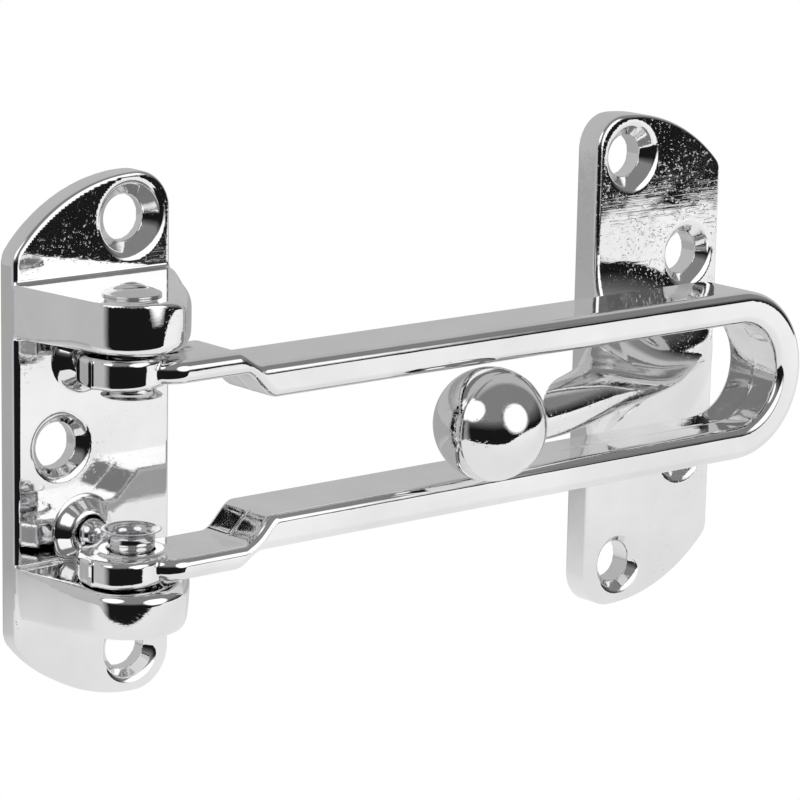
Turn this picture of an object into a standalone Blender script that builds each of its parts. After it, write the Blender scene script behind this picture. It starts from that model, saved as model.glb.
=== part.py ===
"""Swing-bar door guard: frame plate with hinge lugs, slotted swing bar, and door plate with a horn and ball.

Axes: X runs along the closed bar, Z is up, and the plates lie against the wall plane y = 0 and face -Y.
The origin is the centre of the hinge plate's back face. Sizes below are in millimetres.
"""

import math

import bmesh
import bpy
from mathutils import Vector

MM = 0.001
GAP = 0.3                       # clearance between separate pieces

# Hinge plate (frame side)
PLATE_HALF_W = 14.25
PLATE_HALF_H = 41.0
PLATE_T = 3.8
PLATE_CORNER_R = 6.4
PLATE_SWEEP_R = 27.4
PLATE_TIP_R = 4.0
HINGE_HOLES = ((6.9, 33.7), (-6.0, 0.0), (6.9, -33.9))

# Countersunk screw holes, the same in both plates
BORE_R = 3.55
SINK_R = 5.5
SINK_DEPTH = 1.9

# Hinge lugs and pin axis
PIN_X = -4.0
PIN_Y = -19.3
LUG_IN = 17.75
LUG_OUT = 25.75
LOWER_LUG_TAPER = 0.034         # rise of the lower lug's underside per mm away from the plate
NOSE_R = 8.5
FLANK = ((12.6, -8.0), (10.3, -13.0), (6.6, -18.5))

# Detent bosses on the hinge plate
BOSS_X = -2.0
BOSS_Z = 13.55
BOSS_BASE_R = 4.35
BOSS_TIP_R = 3.25
BOSS_FRONT_Y = -6.05
DETENT_BALL_R = 2.4
DETENT_BORE_FLOOR_Y = -0.9

# Rivets
SHANK_R = 3.3
RIVET_HEAD_R = 4.5
RIVET_HEAD_H = 1.0
RIVET_FLARE_Z = {1: 10.7, -1: 9.6}    # flared end of the upper and of the lower rivet
RIVET_BORE_R = 2.4

# Swing bar
BAR_FRONT_Y = -27.7
BAR_BACK_Y = -15.35
RAIL_OUT = 14.4
RAIL_IN = 8.95
LOOP_X = 115.85
STRAP_OUT = 16.7
STRAP_IN = 13.1
CRANK_OUT = (10.3, 14.6)        # x where the outer step starts and ends
CRANK_IN = (12.2, 16.9)
CRANK_STEPS = 4
BAR_ROUND = 0.9
KNUCKLE_OUT = 17.3
KNUCKLE_IN = {1: 12.6, -1: 13.1}     # inner face of the upper and of the lower knuckle
KNUCKLE_R = 8.2
PAD_R = 5.5                     # raised pad round the pin on a knuckle's inner face
PAD_IN = 12.6
CAM_NOSE_R = 10.5
CAM_NOTCH_R = 8.8

# Ball plate (door side)
STRIKE_X0 = 102.3
STRIKE_W = 28.9
STRIKE_MID_Z = -0.7
STRIKE_HALF_H = 42.95
STRIKE_T = 5.2
STRIKE_CORNER_R = 5.9
STRIKE_SWEEP_R = 31.0
STRIKE_TIP_R = 3.0
STRIKE_HOLES = ((109.95, 34.9), (123.95, 16.9), (123.95, -18.3), (109.95, -36.3))
BALL_CENTRE = (57.8, -29.5, 0.0)
BALL_R = 9.05

# Horn sections from root to ball: near edge (x, y), far edge (x, y), half height
HORN_SECTIONS = (
    ((102.6, -3.5), (130.6, -4.2), 13.0),
    ((99.2, -8.4), (121.5, -11.6), 11.2),
    ((93.5, -12.9), (108.5, -18.4), 7.3),
    ((86.0, -17.2), (95.5, -24.3), 5.8),
    ((77.0, -21.4), (83.5, -28.8), 5.1),
    ((68.0, -25.0), (72.0, -32.2), 4.5),
    ((59.0, -27.4), (60.0, -32.8), 3.6),
)

SEGMENTS = 20                   # facets round small turned shapes


def clear_scene():
    for obj in list(bpy.data.objects):
        bpy.data.objects.remove(obj, do_unlink=True)


def metal(name, color, roughness):
    mat = bpy.data.materials.new(name)
    mat.use_nodes = True
    shader = mat.node_tree.nodes["Principled BSDF"]
    shader.inputs["Base Color"].default_value = (*color, 1.0)
    shader.inputs["Metallic"].default_value = 1.0
    shader.inputs["Roughness"].default_value = roughness
    return mat


def add_object(name, bm, mat=None, origin=(0.0, 0.0, 0.0), smooth=False):
    """Turn a bmesh in millimetres into an object whose origin is the given point."""
    shift = Vector(origin)
    for vert in bm.verts:
        vert.co = (vert.co - shift) * MM
    bmesh.ops.recalc_face_normals(bm, faces=bm.faces)
    mesh = bpy.data.meshes.new(name)
    bm.to_mesh(mesh)
    bm.free()
    if smooth:
        mesh.shade_smooth()
        mesh.set_sharp_from_angle(angle=math.radians(35))
    if mat:
        mesh.materials.append(mat)
    obj = bpy.data.objects.new(name, mesh)
    obj.location = shift * MM
    bpy.context.collection.objects.link(obj)
    return obj


def add_helper(name, bm):
    """A cutter or added body that only feeds a Boolean."""
    obj = add_object(name, bm)
    obj.display_type = "WIRE"
    obj.hide_render = True
    return obj


def boolean(obj, helper, operation):
    mod = obj.modifiers.new(helper.name, "BOOLEAN")
    mod.object = helper
    mod.operation = operation
    mod.solver = "EXACT"


def arc(cx, cy, radius, start_deg, end_deg, steps):
    """Points on an arc, both ends included."""
    points = []
    for i in range(steps + 1):
        angle = math.radians(start_deg + (end_deg - start_deg) * i / steps)
        points.append((cx + radius * math.cos(angle), cy + radius * math.sin(angle)))
    return points


def extrude_y(outline, y_front, y_back):
    """Prism with an (x, z) outline between two y planes."""
    bm = bmesh.new()
    front = [bm.verts.new((x, y_front, z)) for x, z in outline]
    back = [bm.verts.new((x, y_back, z)) for x, z in outline]
    close_prism(bm, front, back)
    return bm


def extrude_z(outline, z_low, z_high):
    """Prism with an (x, y) outline between two z planes."""
    bm = bmesh.new()
    low = [bm.verts.new((x, y, z_low)) for x, y in outline]
    high = [bm.verts.new((x, y, z_high)) for x, y in outline]
    close_prism(bm, low, high)
    return bm


def close_prism(bm, ring_a, ring_b):
    bm.faces.new(ring_a)
    bm.faces.new(ring_b)
    count = len(ring_a)
    for i in range(count):
        j = (i + 1) % count
        bm.faces.new((ring_a[i], ring_a[j], ring_b[j], ring_b[i]))


def turned(profile, centre, axis, segments=SEGMENTS):
    """Solid of revolution from (radius, distance along axis) points; its ends lie on the axis or are capped."""
    turn = Vector((0, 0, 1)).rotation_difference(Vector(axis))
    bm = bmesh.new()
    rings = []
    for radius, along in profile:
        if radius == 0:
            rings.append([bm.verts.new(turn @ Vector((0, 0, along)) + Vector(centre))])
            continue
        ring = []
        for i in range(segments):
            angle = 2 * math.pi * i / segments
            point = Vector((radius * math.cos(angle), radius * math.sin(angle), along))
            ring.append(bm.verts.new(turn @ point + Vector(centre)))
        rings.append(ring)
    for low, high in zip(rings, rings[1:]):
        join_rings(bm, low, high)
    for ring in (rings[0], rings[-1]):
        if len(ring) > 1:
            bm.faces.new(ring)
    return bm


def join_rings(bm, low, high):
    count = max(len(low), len(high))
    for i in range(count):
        j = (i + 1) % count
        if len(low) == 1:
            bm.faces.new((low[0], high[j], high[i]))
        elif len(high) == 1:
            bm.faces.new((low[i], low[j], high[0]))
        else:
            bm.faces.new((low[i], low[j], high[j], high[i]))


def sphere(centre, radius, segments, rings):
    bm = bmesh.new()
    bmesh.ops.create_uvsphere(bm, u_segments=segments, v_segments=rings, radius=radius)
    bmesh.ops.translate(bm, verts=bm.verts, vec=centre)
    return bm


def round_front(bm, y_front, width, segments, skip=None):
    """Round the edges of the face that lies in the plane y = y_front."""
    edges = []
    for edge in bm.edges:
        a, b = (vert.co for vert in edge.verts)
        if abs(a.y - y_front) < 1e-4 and abs(b.y - y_front) < 1e-4:
            if not (skip and skip(a) and skip(b)):
                edges.append(edge)
    bmesh.ops.bevel(bm, geom=edges, offset=width, segments=segments, profile=0.5, affect="EDGES")


def half_outline(x_straight, width, half_h, corner_r, sweep_r, tip_r):
    """Upper half of a plate's (x, z) outline: corner, sweep and tip are arcs tangent to one another."""
    side = math.copysign(1.0, width)
    cx = corner_r
    tip_x = abs(width) - tip_r
    tip_z = half_h - sweep_r + math.sqrt((sweep_r - tip_r) ** 2 - (tip_x - cx) ** 2)
    turn = math.degrees(math.asin((tip_x - cx) / (sweep_r - tip_r)))
    points = arc(cx, half_h - corner_r, corner_r, 180, 90, 6)
    points += arc(cx, half_h - sweep_r, sweep_r, 90, 90 - turn, 8)[1:]
    points += arc(tip_x, tip_z, tip_r, 90 - turn, 0, 3)[1:]
    return [(x_straight + side * x, z) for x, z in points]


def plate_body(outline, mid_z, thickness):
    """Flat plate that is the same above and below its middle, with a softened front edge."""
    upper = [(x, mid_z + z) for x, z in outline]
    lower = [(x, mid_z - z) for x, z in reversed(outline)]
    bm = extrude_y(upper + lower, -thickness, 0.0)
    round_front(bm, -thickness, 0.6, 1)
    return bm


def screw_hole_cutter(name, x, z, thickness):
    """Through bore with a countersink that opens at the plate's front."""
    mouth = thickness + 0.4
    mouth_r = SINK_R + 0.4
    profile = ((BORE_R, -1.0), (BORE_R, thickness - SINK_DEPTH), (mouth_r, mouth))
    return add_helper(name, turned(profile, (x, 0, z), (0, -1, 0)))


def lug_outline():
    """Plan of a hinge lug: left wall, round nose about the pin, swelling right flank."""
    nose = arc(PIN_X, PIN_Y, NOSE_R, 180, 320, 12)
    flank = [point for point in reversed(FLANK)]
    return [(-PLATE_HALF_W, -PLATE_T + 0.8), (-PLATE_HALF_W, -PLATE_T), (-13.5, -11.0)] + nose + flank + [
        (PLATE_HALF_W, -PLATE_T), (PLATE_HALF_W, -PLATE_T + 0.8)]


def taper_underside(lug):
    for vert in lug.verts:
        if vert.co.z < -LUG_OUT + 0.01:
            vert.co.z += LOWER_LUG_TAPER * max(0.0, -PLATE_T - vert.co.y)


def make_hinge_plate(mat):
    outline = half_outline(
        PLATE_HALF_W, -2 * PLATE_HALF_W, PLATE_HALF_H, PLATE_CORNER_R, PLATE_SWEEP_R, PLATE_TIP_R)
    obj = add_object("hinge_plate", plate_body(outline, 0.0, PLATE_T), mat, smooth=True)
    for sign, side in ((1, "upper"), (-1, "lower")):
        lug = extrude_z(lug_outline(), *sorted((sign * LUG_IN, sign * LUG_OUT)))
        if sign < 0:
            taper_underside(lug)
        boolean(obj, add_helper(f"{side}_lug", lug), "UNION")
        boss_profile = ((BOSS_BASE_R, PLATE_T - 0.8), (BOSS_BASE_R, PLATE_T), (BOSS_TIP_R, -BOSS_FRONT_Y))
        boss = turned(boss_profile, (BOSS_X, 0, sign * BOSS_Z), (0, -1, 0))
        boolean(obj, add_helper(f"{side}_boss", boss), "UNION")
        rivet_hole = turned(((SHANK_R + GAP, -1), (SHANK_R + GAP, LUG_OUT - LUG_IN + 1)),
                            (PIN_X, PIN_Y, sign * LUG_IN), (0, 0, sign))
        boolean(obj, add_helper(f"{side}_rivet_hole", rivet_hole), "DIFFERENCE")
        bore_r = DETENT_BALL_R + GAP
        bore = turned(((bore_r, -DETENT_BORE_FLOOR_Y), (bore_r, -BOSS_FRONT_Y + 1)),
                      (BOSS_X, 0, sign * BOSS_Z), (0, -1, 0))
        boolean(obj, add_helper(f"{side}_detent_bore", bore), "DIFFERENCE")
    for index, (x, z) in enumerate(HINGE_HOLES):
        boolean(obj, screw_hole_cutter(f"hinge_screw_hole_{index}", x, z, PLATE_T), "DIFFERENCE")
    return obj


def crank(span, z_start, z_end):
    """S-shaped step between two levels."""
    x_start, x_end = span
    points = []
    for i in range(CRANK_STEPS + 1):
        t = i / CRANK_STEPS
        blend = 0.5 - 0.5 * math.cos(math.pi * t)
        points.append((x_start + (x_end - x_start) * t, z_start + (z_end - z_start) * blend))
    return points


def bar_outline():
    """Front view of the bar: two straps that crank into the rails, joined by the round loop."""
    strap_x = PIN_X - 1.0
    outer_top = [(strap_x, STRAP_OUT)] + crank(CRANK_OUT, STRAP_OUT, RAIL_OUT)
    outer_loop = arc(LOOP_X, 0, RAIL_OUT, 90, -90, 20)
    outer_bottom = [(x, -z) for x, z in reversed(outer_top)]
    inner_top = [(strap_x, STRAP_IN)] + crank(CRANK_IN, STRAP_IN, RAIL_IN)
    inner_bottom = [(x, -z) for x, z in inner_top]
    inner_loop = arc(LOOP_X, 0, RAIL_IN, -90, 90, 16)
    return outer_top + outer_loop + outer_bottom + inner_bottom + inner_loop + list(reversed(inner_top))


def polar(radius, degrees):
    """Point in plan about the pin axis."""
    angle = math.radians(degrees)
    return (PIN_X + radius * math.cos(angle), PIN_Y + radius * math.sin(angle))


def knuckle_outline():
    """Plan of a knuckle: round front, flat left flank, cam nose and detent notch at the rear."""
    front = arc(PIN_X, PIN_Y, KNUCKLE_R, 300, 186, 14)
    nose = [polar(9.0, 117), polar(10.2, 107), polar(CAM_NOSE_R, 102)]
    notch = [polar(CAM_NOTCH_R, 97)]
    rear = [polar(CAM_NOSE_R - 0.3, angle) for angle in (86, 76, 66, 56, 46)] + [polar(9.0, 32)]
    return front + nose + notch + rear + [(PIN_X + 9.5, BAR_BACK_Y), (PIN_X + 7.0, PIN_Y)]


def make_swing_bar(mat):
    body = extrude_y(bar_outline(), BAR_FRONT_Y, BAR_BACK_Y)
    strap_end = PIN_X - 1.0
    round_front(body, BAR_FRONT_Y, BAR_ROUND, 2, skip=lambda co: abs(co.x - strap_end) < 1e-4)
    obj = add_object("swing_bar", body, mat, origin=(PIN_X, PIN_Y, 0), smooth=True)
    for sign, side in ((1, "upper"), (-1, "lower")):
        knuckle = extrude_z(knuckle_outline(), *sorted((sign * KNUCKLE_IN[sign], sign * KNUCKLE_OUT)))
        boolean(obj, add_helper(f"{side}_knuckle", knuckle), "UNION")
        pad = turned(((PAD_R, PAD_IN), (PAD_R, KNUCKLE_IN[sign] + 1)), (PIN_X, PIN_Y, 0), (0, 0, sign))
        boolean(obj, add_helper(f"{side}_pad", pad), "UNION")
        hole = turned(((SHANK_R + GAP, PAD_IN - 1), (SHANK_R + GAP, KNUCKLE_OUT + 1)),
                      (PIN_X, PIN_Y, 0), (0, 0, sign))
        boolean(obj, add_helper(f"{side}_knuckle_hole", hole), "DIFFERENCE")
    return obj


def make_rivet(name, sign, mat):
    """Tubular rivet: domed head outside the lug, shank through lug and ear, trumpet mouth inside the ear."""
    seat = LUG_OUT if sign > 0 else LUG_OUT - LOWER_LUG_TAPER * (-PLATE_T - PIN_Y)
    head_z = seat + GAP
    collar_z = PAD_IN - GAP
    flare_z = RIVET_FLARE_Z[sign]
    profile = (
        (0, head_z + RIVET_HEAD_H),
        (RIVET_HEAD_R * 0.5, head_z + RIVET_HEAD_H * 0.88),
        (RIVET_HEAD_R * 0.85, head_z + RIVET_HEAD_H * 0.5),
        (RIVET_HEAD_R, head_z),
        (SHANK_R, head_z),
        (SHANK_R, collar_z),
        (SHANK_R + 0.3, collar_z),
        (SHANK_R + 0.3, flare_z + 0.9),
        (RIVET_HEAD_R - 0.3, flare_z + 0.25),
        (RIVET_HEAD_R, flare_z),
        (RIVET_HEAD_R - 0.4, flare_z),
        (RIVET_BORE_R + 0.4, flare_z + 2.4),
        (RIVET_BORE_R, flare_z + 5.0),
        (0, flare_z + 5.6),
    )
    bm = turned(tuple(reversed(profile)), (PIN_X, PIN_Y, 0), (0, 0, sign))
    return add_object(name, bm, mat, origin=(PIN_X, PIN_Y, 0), smooth=True)


def make_detent_ball(name, sign, mat):
    centre = (BOSS_X, BOSS_FRONT_Y, sign * BOSS_Z)
    return add_object(name, sphere(centre, DETENT_BALL_R, 16, 10), mat, origin=centre, smooth=True)


def make_detent_spring(name, sign, mat):
    """Compressed coil spring between the bore's floor and the ball."""
    wire_r = 0.22
    coil_r = 1.7
    turns = 2.5
    steps_per_turn = 14
    start = DETENT_BORE_FLOOR_Y - wire_r - 0.15
    end = BOSS_FRONT_Y + DETENT_BALL_R + wire_r + 0.1
    curve = bpy.data.curves.new(name, "CURVE")
    curve.dimensions = "3D"
    curve.bevel_depth = wire_r * MM
    curve.bevel_resolution = 1
    curve.use_fill_caps = True
    spline = curve.splines.new("POLY")
    count = int(turns * steps_per_turn)
    spline.points.add(count)
    for i in range(count + 1):
        angle = 2 * math.pi * i / steps_per_turn
        along = start + (end - start) * i / count
        offset = Vector((coil_r * math.cos(angle), along, coil_r * math.sin(angle)))
        spline.points[i].co = (*(offset * MM), 1.0)
    curve.materials.append(mat)
    obj = bpy.data.objects.new(name, curve)
    obj.location = Vector((BOSS_X, 0, sign * BOSS_Z)) * MM
    bpy.context.collection.objects.link(obj)
    return obj


def horn_ring(near, far, half_h, sharp):
    """Oval section between two plan points, blunt at the near edge and drawn to a keel at the far edge."""
    a, b = Vector((*near, 0)), Vector((*far, 0))
    points = []
    count = 20
    for i in range(count):
        angle = 2 * math.pi * i / count
        along = 0.5 - 0.5 * math.cos(angle)
        rise = math.sin(angle)
        if along > 0.5:
            rise *= 1 - sharp * (2 * along - 1) ** 2 * 0.45
        else:
            rise = math.copysign(abs(rise) ** (1 - 0.55 * sharp), rise)
        point = a.lerp(b, along)
        points.append((point.x, point.y, half_h * rise))
    return points


def horn_body():
    bm = bmesh.new()
    rings = []
    last = len(HORN_SECTIONS) - 1
    for index, (near, far, half_h) in enumerate(HORN_SECTIONS):
        sharp = max(0.0, 1 - index / 3)
        rings.append([bm.verts.new(p) for p in horn_ring(near, far, half_h, sharp)])
    for low, high in zip(rings, rings[1:]):
        join_rings(bm, low, high)
    bm.faces.new(rings[0])
    bm.faces.new(rings[last])
    bmesh.ops.recalc_face_normals(bm, faces=bm.faces)
    return bm


def make_ball_plate(mat):
    outline = half_outline(
        STRIKE_X0, STRIKE_W, STRIKE_HALF_H, STRIKE_CORNER_R, STRIKE_SWEEP_R, STRIKE_TIP_R)
    obj = add_object("ball_plate", plate_body(outline, STRIKE_MID_Z, STRIKE_T), mat, smooth=True)
    boolean(obj, add_helper("horn", horn_body()), "UNION")
    boolean(obj, add_helper("ball", sphere(BALL_CENTRE, BALL_R, 28, 18)), "UNION")
    for index, (x, z) in enumerate(STRIKE_HOLES):
        boolean(obj, screw_hole_cutter(f"strike_screw_hole_{index}", x, z, STRIKE_T), "DIFFERENCE")
    return obj


def main():
    clear_scene()
    chrome = metal("bright_chrome", (0.86, 0.87, 0.88), 0.05)
    steel = metal("polished_steel", (0.72, 0.72, 0.72), 0.15)
    wire = metal("spring_wire", (0.55, 0.55, 0.56), 0.3)
    make_hinge_plate(chrome)
    make_swing_bar(chrome)
    make_ball_plate(chrome)
    for sign, side in ((1, "upper"), (-1, "lower")):
        make_rivet(f"{side}_hinge_rivet", sign, steel)
        make_detent_ball(f"{side}_detent_ball", sign, steel)
        make_detent_spring(f"{side}_detent_spring", sign, wire)


main()
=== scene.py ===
"""Looks of a chromed swing-bar door guard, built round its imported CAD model.

The three castings are distance fields: plain shapes joined and cut with rounded seams, as a casting has
them. Each is meshed finely, with the field's own gradient as the normal, so that the chrome mirrors its
surroundings without facets. Fields and sizes are in millimetres in the CAD's frame: X runs along the
closed bar, the plates lie on the plane y = 0 and face -Y, and Z is up.
"""

import math

import bpy
import numpy as np
from mathutils import Matrix, Vector


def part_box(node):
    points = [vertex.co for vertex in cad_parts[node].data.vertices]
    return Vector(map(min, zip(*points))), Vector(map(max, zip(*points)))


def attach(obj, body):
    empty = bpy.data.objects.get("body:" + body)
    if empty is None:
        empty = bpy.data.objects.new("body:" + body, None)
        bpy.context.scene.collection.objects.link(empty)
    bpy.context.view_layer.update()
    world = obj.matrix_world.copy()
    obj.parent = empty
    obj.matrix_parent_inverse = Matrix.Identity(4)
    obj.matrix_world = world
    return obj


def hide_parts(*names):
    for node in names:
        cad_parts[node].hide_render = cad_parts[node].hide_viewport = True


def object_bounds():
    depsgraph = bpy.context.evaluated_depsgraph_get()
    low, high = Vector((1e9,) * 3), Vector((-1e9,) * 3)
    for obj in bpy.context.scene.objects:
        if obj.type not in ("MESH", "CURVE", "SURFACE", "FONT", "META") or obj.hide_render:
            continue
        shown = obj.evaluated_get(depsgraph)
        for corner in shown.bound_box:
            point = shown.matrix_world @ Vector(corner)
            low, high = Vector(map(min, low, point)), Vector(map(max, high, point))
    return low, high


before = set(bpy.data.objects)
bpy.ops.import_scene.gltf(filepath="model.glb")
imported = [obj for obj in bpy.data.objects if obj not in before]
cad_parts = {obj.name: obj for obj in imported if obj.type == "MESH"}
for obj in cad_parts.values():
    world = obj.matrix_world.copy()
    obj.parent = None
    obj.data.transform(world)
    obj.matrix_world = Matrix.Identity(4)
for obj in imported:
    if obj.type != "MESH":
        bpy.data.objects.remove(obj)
cad_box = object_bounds()

MM = 0.001


def box_mm(node):
    low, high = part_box(node)
    return np.array(low) / MM, np.array(high) / MM


hinge_low, hinge_high = box_mm("hinge_plate")
bar_low, bar_high = box_mm("swing_bar")
strike_low, strike_high = box_mm("ball_plate")
rivet_low, rivet_high = box_mm("upper_hinge_rivet")
detent_low, detent_high = box_mm("lower_detent_ball")
spring_low, spring_high = box_mm("upper_detent_spring")

# Meshing
CELL = 0.35      # spacing of the grid the castings are meshed on
GRID_MARGIN = 2.5                       # cells round the CAD box
BLOCK = 8                               # grid cells along a block's side
BLOCK_REACH = 1.15                      # in sides from its middle: where a surface may cross a block
CHUNK = 200000                          # points worked out at a time
SETTLE_STEPS = 3
SETTLE_PROBE = 0.02
NORMAL_PROBE = 0.03

# Hinge plate and its lugs
PLATE_HALF_W = hinge_high[0]
PLATE_HALF_H = hinge_high[2]
PLATE_T = 3.8
PLATE_CORNER_R = 6.4
PLATE_SWEEP_R = 27.4
PLATE_TIP_R = 4.0
EDGE_SHARP = 0.55                       # front edge rounding of a plate on its right side
EDGE_SOFT = 0.85                        # and on its left side
BACK_EDGE_R = 0.25
HINGE_EDGE_SPAN = (-6, 8)               # where the edge goes from soft to sharp
ROOT_Y = -1.0                           # lugs and bosses start here, inside the plate
HINGE_HOLES = ((6.9, 33.7, 5.8), (-6.0, 0.0, 5.05), (6.9, -33.9, 5.2))
PIN_X = (rivet_low[0] + rivet_high[0]) / 2
PIN_Y = (rivet_low[1] + rivet_high[1]) / 2
NOSE_R = PIN_Y - hinge_low[1]
LUG_IN = 17.75
LUG_OUT = 25.75
FLANK_R = 52.0
LOWER_LUG_TAPER = 0.036                 # rise of the lower lug's underside per mm away from the plate
LUG_BARREL = 0.0095                     # how strongly a lug's wall bulges, per mm of height squared
LUG_FILLET = 0.6
# Rounding of the lugs' edges at their sharpest and softest, and the stretch over which they soften
LUG_SOFT_X = (PIN_X - 2, PIN_X + 9)
LUG_SOFT_OUT = (1, 9)
LUG_TOP_EDGE_R = (0.4, 2.6)
LUG_INNER_EDGE_R = (0.1, 1.8)
LUG_INNER_SOFT_OUT = (1, 15)
LUG_UNDER_EDGE_R = (0.5, 1.3)
LUG_UNDER_SOFT_OUT = (8, 19)

# Countersunk screw holes; each plate lists its own as x, z, mouth radius
BORE_R = 3.55
SINK_RIM_R = 0.45
BORE_EDGE_R = 0.12

# Detent bosses
BOSS_X = (detent_low[0] + detent_high[0]) / 2
BOSS_Z = -(detent_low[2] + detent_high[2]) / 2
DETENT_R = (detent_high[2] - detent_low[2]) / 2
BOSS_FRONT_Y = (detent_low[1] + detent_high[1]) / 2
BOSS_BASE_R = 5.2
BOSS_TIP_R = 3.45
BOSS_EDGE_R = 0.4
BOSS_FILLET = 0.45
DETENT_BORE_R = DETENT_R + 0.4
DETENT_FLOOR_Y = spring_high[1] + 0.15

# Swing bar
BAR_FRONT_Y = bar_low[1]
BAR_BACK_Y = -15.35
RAIL_OUT = 14.4
RAIL_IN = 8.95
LOOP_X = bar_high[0] - RAIL_OUT
STRAP_OUT = 16.7
STRAP_IN = 13.1
CRANK_OUT = (9.95, 14.95)
CRANK_IN = (11.6, 17.4)
BAR_FRONT_R = 1.5
BAR_BACK_R = 0.7
BAR_PARTING_Y = -21.5
BAR_PARTING = (0.05, 0.3)               # height and half width of the parting line in the slot
KNUCKLE_OUT = bar_high[2]
KNUCKLE_IN = {1: 12.6, -1: 13.1}        # inner face of the upper (1) and of the lower (-1) knuckle
KNUCKLE_R = PIN_X - bar_low[0]
PAD_R = 5.4                             # raised pad round the pin on a knuckle's inner face
PAD_IN = 12.65
PAD_EDGE_R = 0.4
PAD_FILLET = 0.3
STRAP_NOSE = (0.4, -22.7)               # middle of the strap's rounded start, in plan
STRAP_NOSE_R = STRAP_NOSE[1] - BAR_FRONT_Y
KNUCKLE_FRONT = (-1.9, 0.5)             # middle of the knuckle's tighter front, from the pin
KNUCKLE_FRONT_R = 7.0
KNUCKLE_FRONT_END = 2                   # the tighter front reaches this far behind the pin
KNUCKLE_EDGE_R = 0.9
KNUCKLE_FILLET = 0.4
RIVET_HOLE_R = 3.6
HOLE_EDGE_R = 0.2                       # rims of the rivet holes and the detent bores
CAM_R = 10.5
CAM_LEFT = ((-8.35, -0.9), (-2.3, 10.4))
CAM_RIGHT = ((2.9, 10.0), (8.5, 3.9))
CAM_NOTCH = ((-2.3, 10.4), (-1.4, 8.4), (2.9, 10.0))
CAM_START = -1.5                        # the cam begins this far in front of the pin, inside the knuckle
CAM_EDGE_R = 0.5
CAM_FILLET = 0.3
NOTCH_EDGE_R = 0.35

# Hinge rivets: a domed head, a shank that steps out to a barrel with a fine bead, a flared mouth
SHANK_R = 3.3
HEAD_R = (rivet_high[0] - rivet_low[0]) / 2
HEAD_H = 1.0
HEAD_EDGE_R = 0.22
HEAD_EDGE_IN = 0.25
HEAD_EDGE_DROP = 0.12
DOME_LIFT = 0.1                         # the dome's foot stands this far above the head's edge
DOME_POWER = 2.5                        # the higher, the flatter the dome's top
DOME_STEPS = 16
SEAT = 0.3                              # the head is pressed down onto the lug by the CAD's gap
BARREL_R = 3.5
BARREL_TOP = PAD_IN - 0.3
BEAD_Z = BARREL_TOP - 0.7
BEAD_H = 0.12
BEAD_HALF_W = 0.2
FLARE_H = 1.3
LIP_W = 0.1
MOUTH_R = 1.6
MOUTH_WALL = 0.6
BORE_DEPTH = 4.0
BORE_END_H = 0.6

# Ball plate, horn and ball
STRIKE_T = 5.2
STRIKE_W = 28.9
STRIKE_X0 = strike_high[0] - STRIKE_W
STRIKE_MID_Z = (strike_low[2] + strike_high[2]) / 2
STRIKE_HALF_H = (strike_high[2] - strike_low[2]) / 2
STRIKE_CORNER_R = 5.9
STRIKE_SWEEP_R = 31.0
STRIKE_TIP_R = 3.0
STRIKE_EDGE_SPAN = (STRIKE_X0 + 2, STRIKE_X0 + 12)
STRIKE_HOLES = ((109.95, 34.9, 5.7), (123.95, 16.9, 5.4), (123.95, -18.3, 5.2), (109.95, -36.3, 5.1))
BALL_R = 9.05
BALL = (strike_low[0] + BALL_R, strike_low[1] + BALL_R, 0.0)
BALL_PARTING_Y = BALL[1] - 3.0
BALL_PARTING = (0.06, 0.25)             # height and half width of the parting line round the ball
BALL_FILLET = 0.7
HORN_START_Y = -2.0
HORN_FILLET = 5.0                       # at the plate's straight side; it dies away along the ridge
HORN_FILLET_RUN = 12.0
HORN_FILLET_END = 0.4
HORN_SEAM_R = 0.1                       # seam left where the plate is too thin for the fillet
HORN_DROOP = -2.2                       # level of the ridge on the plate
HORN_DROOP_X = (84, 114)
HORN_POWER = (3.5, 2.0)                 # how square the near side is: at the root, and from section 3 on
ROOT_DEPTHS = (3, 5.2)                  # heights above the plate's back between which the fillet grows
ROOT_LEAN = 1.3                         # overhang past the straight side, per mm in front of ROOT_LEAN_Y
ROOT_LEAN_Y = -4.4
SWELL_H = 5.5                           # how far the plate swells forward round the horn's root
SWELL_HALF_H = 20.0
SWELL_RUN = 29.0
SWELL_DEPTHS = (2.5, 5.0)
# Horn sections, root to ball: near edge (x, y), far edge (x, y), half height at the near and the far edge
HORN = (
    ((101.6, -1.0), (134.5, -1.2), 11.5, 1.3),
    ((98.6, -7.0), (122.5, -9.3), 10.5, 1.3),
    ((92.0, -12.5), (110.5, -17.6), 8.0, 1.6),
    ((85.0, -17.0), (95.5, -24.4), 5.8, 3.4),
    ((77.0, -21.3), (83.5, -28.9), 4.9, 4.2),
    ((68.0, -24.9), (72.0, -32.3), 4.4, 4.2),
    ((59.0, -27.4), (60.5, -33.8), 3.7, 3.7),
)
HORN_HALVINGS = 9                       # steps in the search for a point's place along the horn

# Detent balls and their springs
WEAR_DEG = 14                           # half angle of the small flat that the cam wears on a ball
SPRING_WIRE_R = 0.2
SPRING_TURNS = 4
TURN_STEPS = 32
WIRE_STEPS = 10
SPRING_SIDE_GAP = 0.05
SPRING_END_GAP = 0.03
SPRING_CLIMB = (0.02, 0.98)             # share of the wire that climbs; the rest lies flat at the ends

# Finish
CHROME = (0.9, 0.9, 0.905)
STEEL = (0.74, 0.74, 0.75)
WIRE = (0.55, 0.55, 0.56)
HAZE = 0.88                             # how much light a hazy patch of plating still reflects
WAVE_H = 0.0002                         # relief in the plating, in metres
MARK_H = 0.00003
PIT_H = 0.00006

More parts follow.
